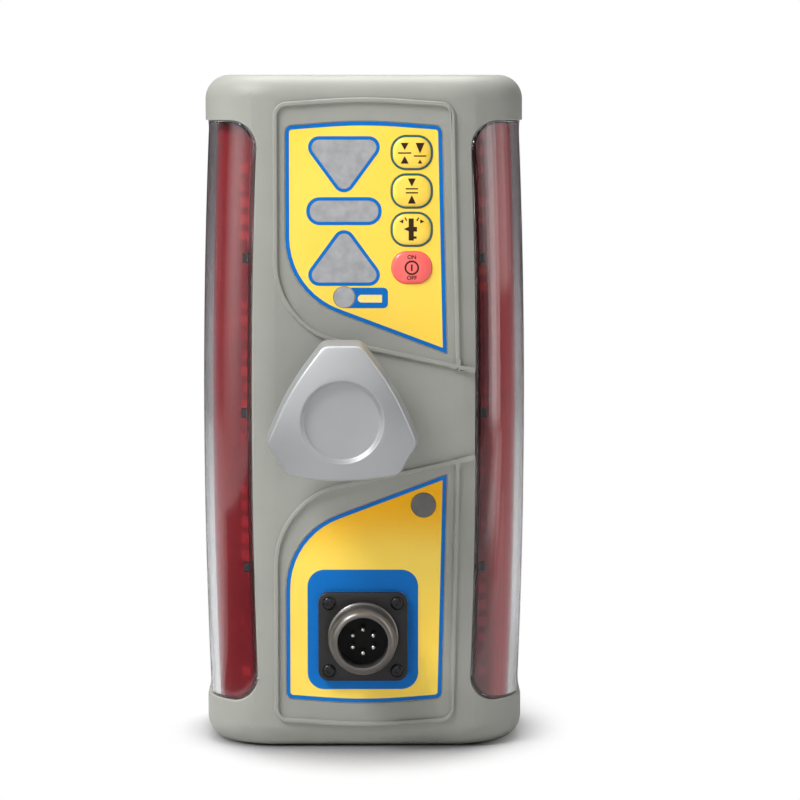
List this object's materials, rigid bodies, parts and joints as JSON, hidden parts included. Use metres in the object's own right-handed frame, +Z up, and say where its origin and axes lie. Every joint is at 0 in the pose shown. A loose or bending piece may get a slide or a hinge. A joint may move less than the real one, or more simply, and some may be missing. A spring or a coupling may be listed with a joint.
{
  "type": "laser receiver",
  "caption": "Upright machine-control laser receiver with red wrap-round side windows, arrow display, keypad, round front connector and a screw clamp behind for a vertical mast.",
  "frame": {"origin": "middle of the bounding box at the base plane the case stands on", "axes": "+Z up along the case, front panel and knob face -Y, +X to the right as seen from the front"},
  "size_m": [0.11, 0.152, 0.228],
  "materials": {
    "case_grey": "fine moulded grain",
    "clear_lens": "polished clear polycarbonate",
    "red_filter": "dyed acrylic",
    "seal_rubber": "smooth",
    "clip_dark": "black oxide",
    "steel": "plain",
    "board_green": "solder mask",
    "sensor_dark": "epoxy",
    "led_clear": "epoxy",
    "overlay_yellow": "satin printed film",
    "display_grey": "translucent satin",
    "lamp_dark": "translucent satin",
    "key_yellow": "satin printed",
    "key_red": "satin printed",
    "connector_black": "black anodised",
    "insert_black": "moulded",
    "pin_silver": "plated",
    "knob_grey": "satin moulded",
    "bush_brass": "machined",
    "jaw_alloy": "machined",
    "hook_alloy": "cast, satin",
    "tray_black": "moulded",
    "cell_jacket": "plastic sleeved"
  },
  "bodies": {
    "case": {"front_case": "case_grey", "rear_case": "case_grey", "case_gasket": "seal_rubber", "case_screws": "steel", "lens_left": "clear_lens", "lens_right": "clear_lens", "lens_seal_left": "seal_rubber", "lens_seal_right": "seal_rubber", "lens_clips_left": "clip_dark", "lens_clips_right": "clip_dark", "red_filter_left": "red_filter", "red_filter_right": "red_filter", "photocell_board_left": "board_green", "photocell_board_right": "board_green", "photodiodes_left": "sensor_dark", "photodiodes_right": "sensor_dark", "display_overlay": "overlay_yellow", "connector_overlay": "overlay_yellow", "arrow_down_window": "display_grey", "grade_bar_window": "display_grey", "arrow_up_window": "display_grey", "battery_lamp_window": "display_grey", "status_window": "lamp_dark", "display_board": "board_green", "power_board": "board_green", "board_screws": "steel", "indicator_leds": "led_clear", "key_switches": "tray_black", "plumb_sensor": "tray_black", "connector_shell": "connector_black", "connector_insert": "insert_black", "connector_pins": "pin_silver", "connector_gasket": "seal_rubber", "connector_screws": "connector_black", "screw_bush": "bush_brass", "bush_nut": "bush_brass", "bush_seal": "seal_rubber", "mast_hook": "hook_alloy", "hook_screws": "steel", "battery_tray_left": "tray_black", "battery_tray_right": "tray_black", "battery_cells": "cell_jacket", "battery_contacts": "steel"},
    "jaw": {"clamp_jaw": "jaw_alloy", "jaw_guides": "steel", "jaw_pad": "seal_rubber"},
    "knob": {"clamp_knob": "knob_grey", "clamp_screw": "steel", "knob_pin": "steel", "screw_clip": "steel"},
    "deadband_key": {"key_deadband": "key_yellow"},
    "on_grade_key": {"key_on_grade": "key_yellow"},
    "plumb_key": {"key_plumb": "key_yellow"},
    "power_key": {"key_power": "key_red"}
  },
  "joints": [
    {"name": "jaw_slide", "type": "slide", "parent": "case", "child": "jaw", "axis": [0, 1, 0], "range_m": [0, 0.012]},
    {"name": "knob_turn", "type": "hinge", "parent": "jaw", "child": "knob", "pos_m": [-0.0072, -0.068, 0.114], "axis": [0, 1, 0], "range_deg": [0, 1440]},
    {"name": "deadband_press", "type": "slide", "parent": "case", "child": "deadband_key", "axis": [0, 1, 0], "range_m": [0, 0.0005], "stiffness_N_per_m": 3000},
    {"name": "on_grade_press", "type": "slide", "parent": "case", "child": "on_grade_key", "axis": [0, 1, 0], "range_m": [0, 0.0005], "stiffness_N_per_m": 3000},
    {"name": "plumb_press", "type": "slide", "parent": "case", "child": "plumb_key", "axis": [0, 1, 0], "range_m": [0, 0.0005], "stiffness_N_per_m": 3000},
    {"name": "power_press", "type": "slide", "parent": "case", "child": "power_key", "axis": [0, 1, 0], "range_m": [0, 0.0005], "stiffness_N_per_m": 3000}
  ],
  "couplings": [
    {"joint": "knob_turn", "follows": "jaw_slide", "rad_per_m": 2094.4}
  ]
}
